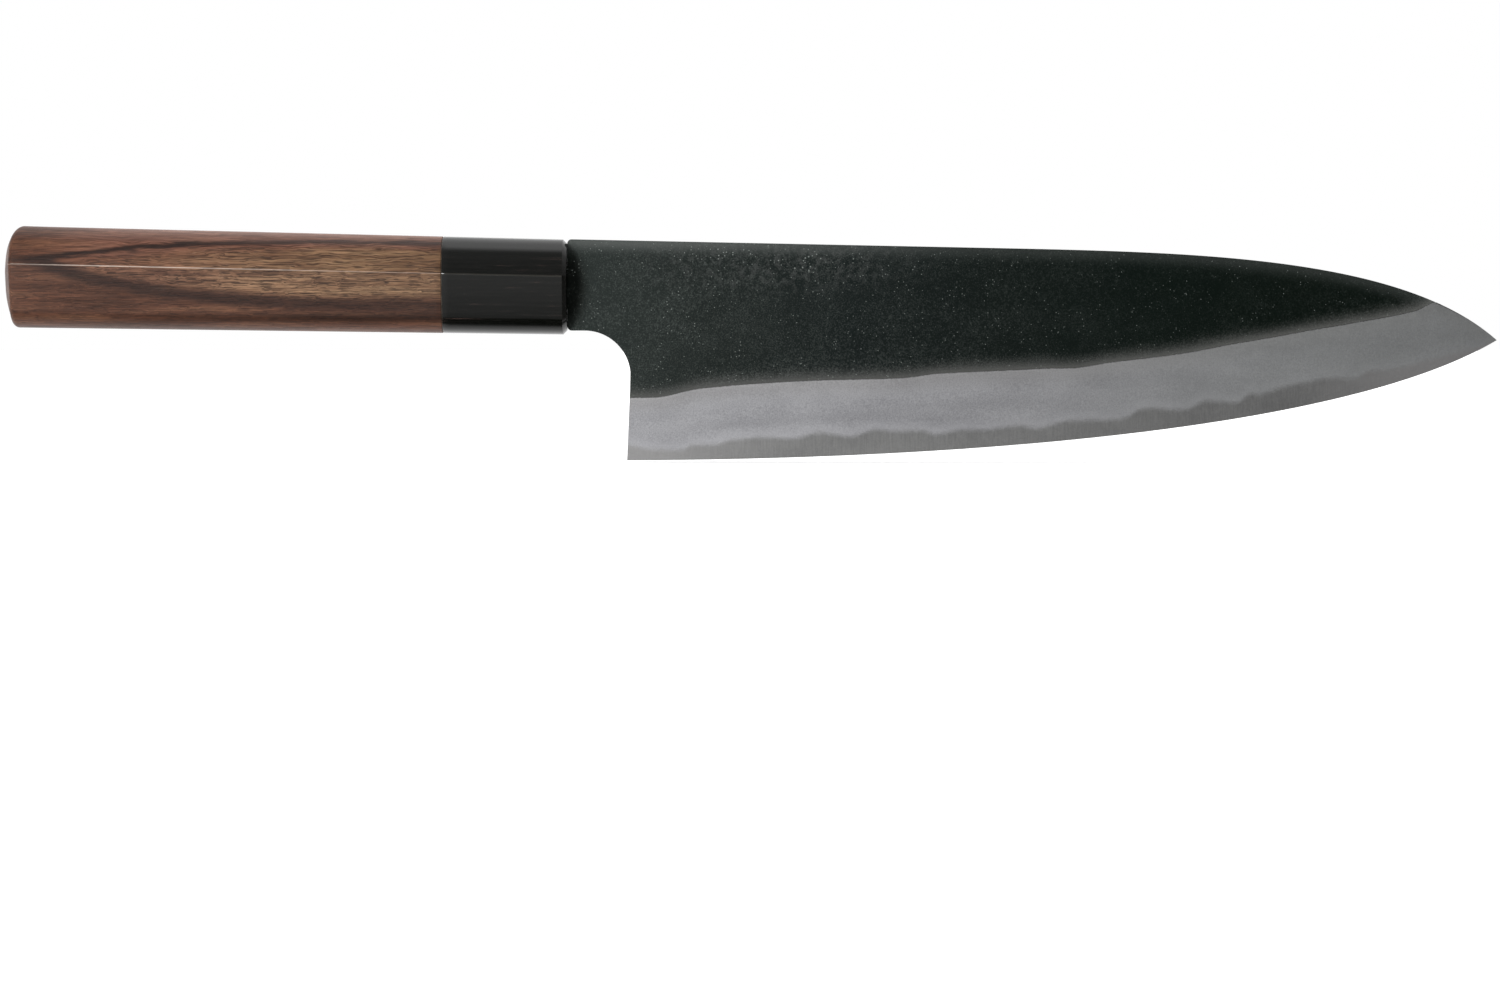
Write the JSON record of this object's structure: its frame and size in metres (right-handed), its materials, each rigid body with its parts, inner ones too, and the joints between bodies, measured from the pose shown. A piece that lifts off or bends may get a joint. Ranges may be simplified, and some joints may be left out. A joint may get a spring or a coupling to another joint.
{
  "type": "chef knife",
  "caption": "Laminated chef knife: dark forged faces, wide ground bevel, curved edge, hidden tang, and a ridged oval wooden handle with a black ferrule.",
  "frame": {"origin": "under the middle of the knife, level with the lowest point of the cutting edge", "axes": "+X from the butt to the tip, +Z from the cutting edge up to the spine, and -Y out of the right face of the blade, the side with the handle's ridge"},
  "size_m": [0.3598, 0.0206, 0.0565],
  "materials": {
    "core_steel": "hard carbon steel, finely ground, cloudy grey with fine upright striations",
    "cladding": "soft steel with black forge scale on the flats and spine, satin grey where the bevel is ground through it",
    "handle_wood": "oiled rosewood, red-brown with an olive-tan flame and dark streaks",
    "ferrule": "black wood, polished to a soft sheen, with faint lengthwise streaks",
    "dowel_wood": "plain pale hardwood, sawn and slotted",
    "tang_adhesive": "cured amber resin",
    "dowel_glue": "cured dark wood glue"
  },
  "bodies": {
    "root": {"core_steel": "core_steel", "right_cladding": "cladding", "left_cladding": "cladding", "handle_body": "handle_wood", "ferrule": "ferrule", "dowel": "dowel_wood", "tang_adhesive": "tang_adhesive", "dowel_glue": "dowel_glue"}
  },
  "joints": []
}
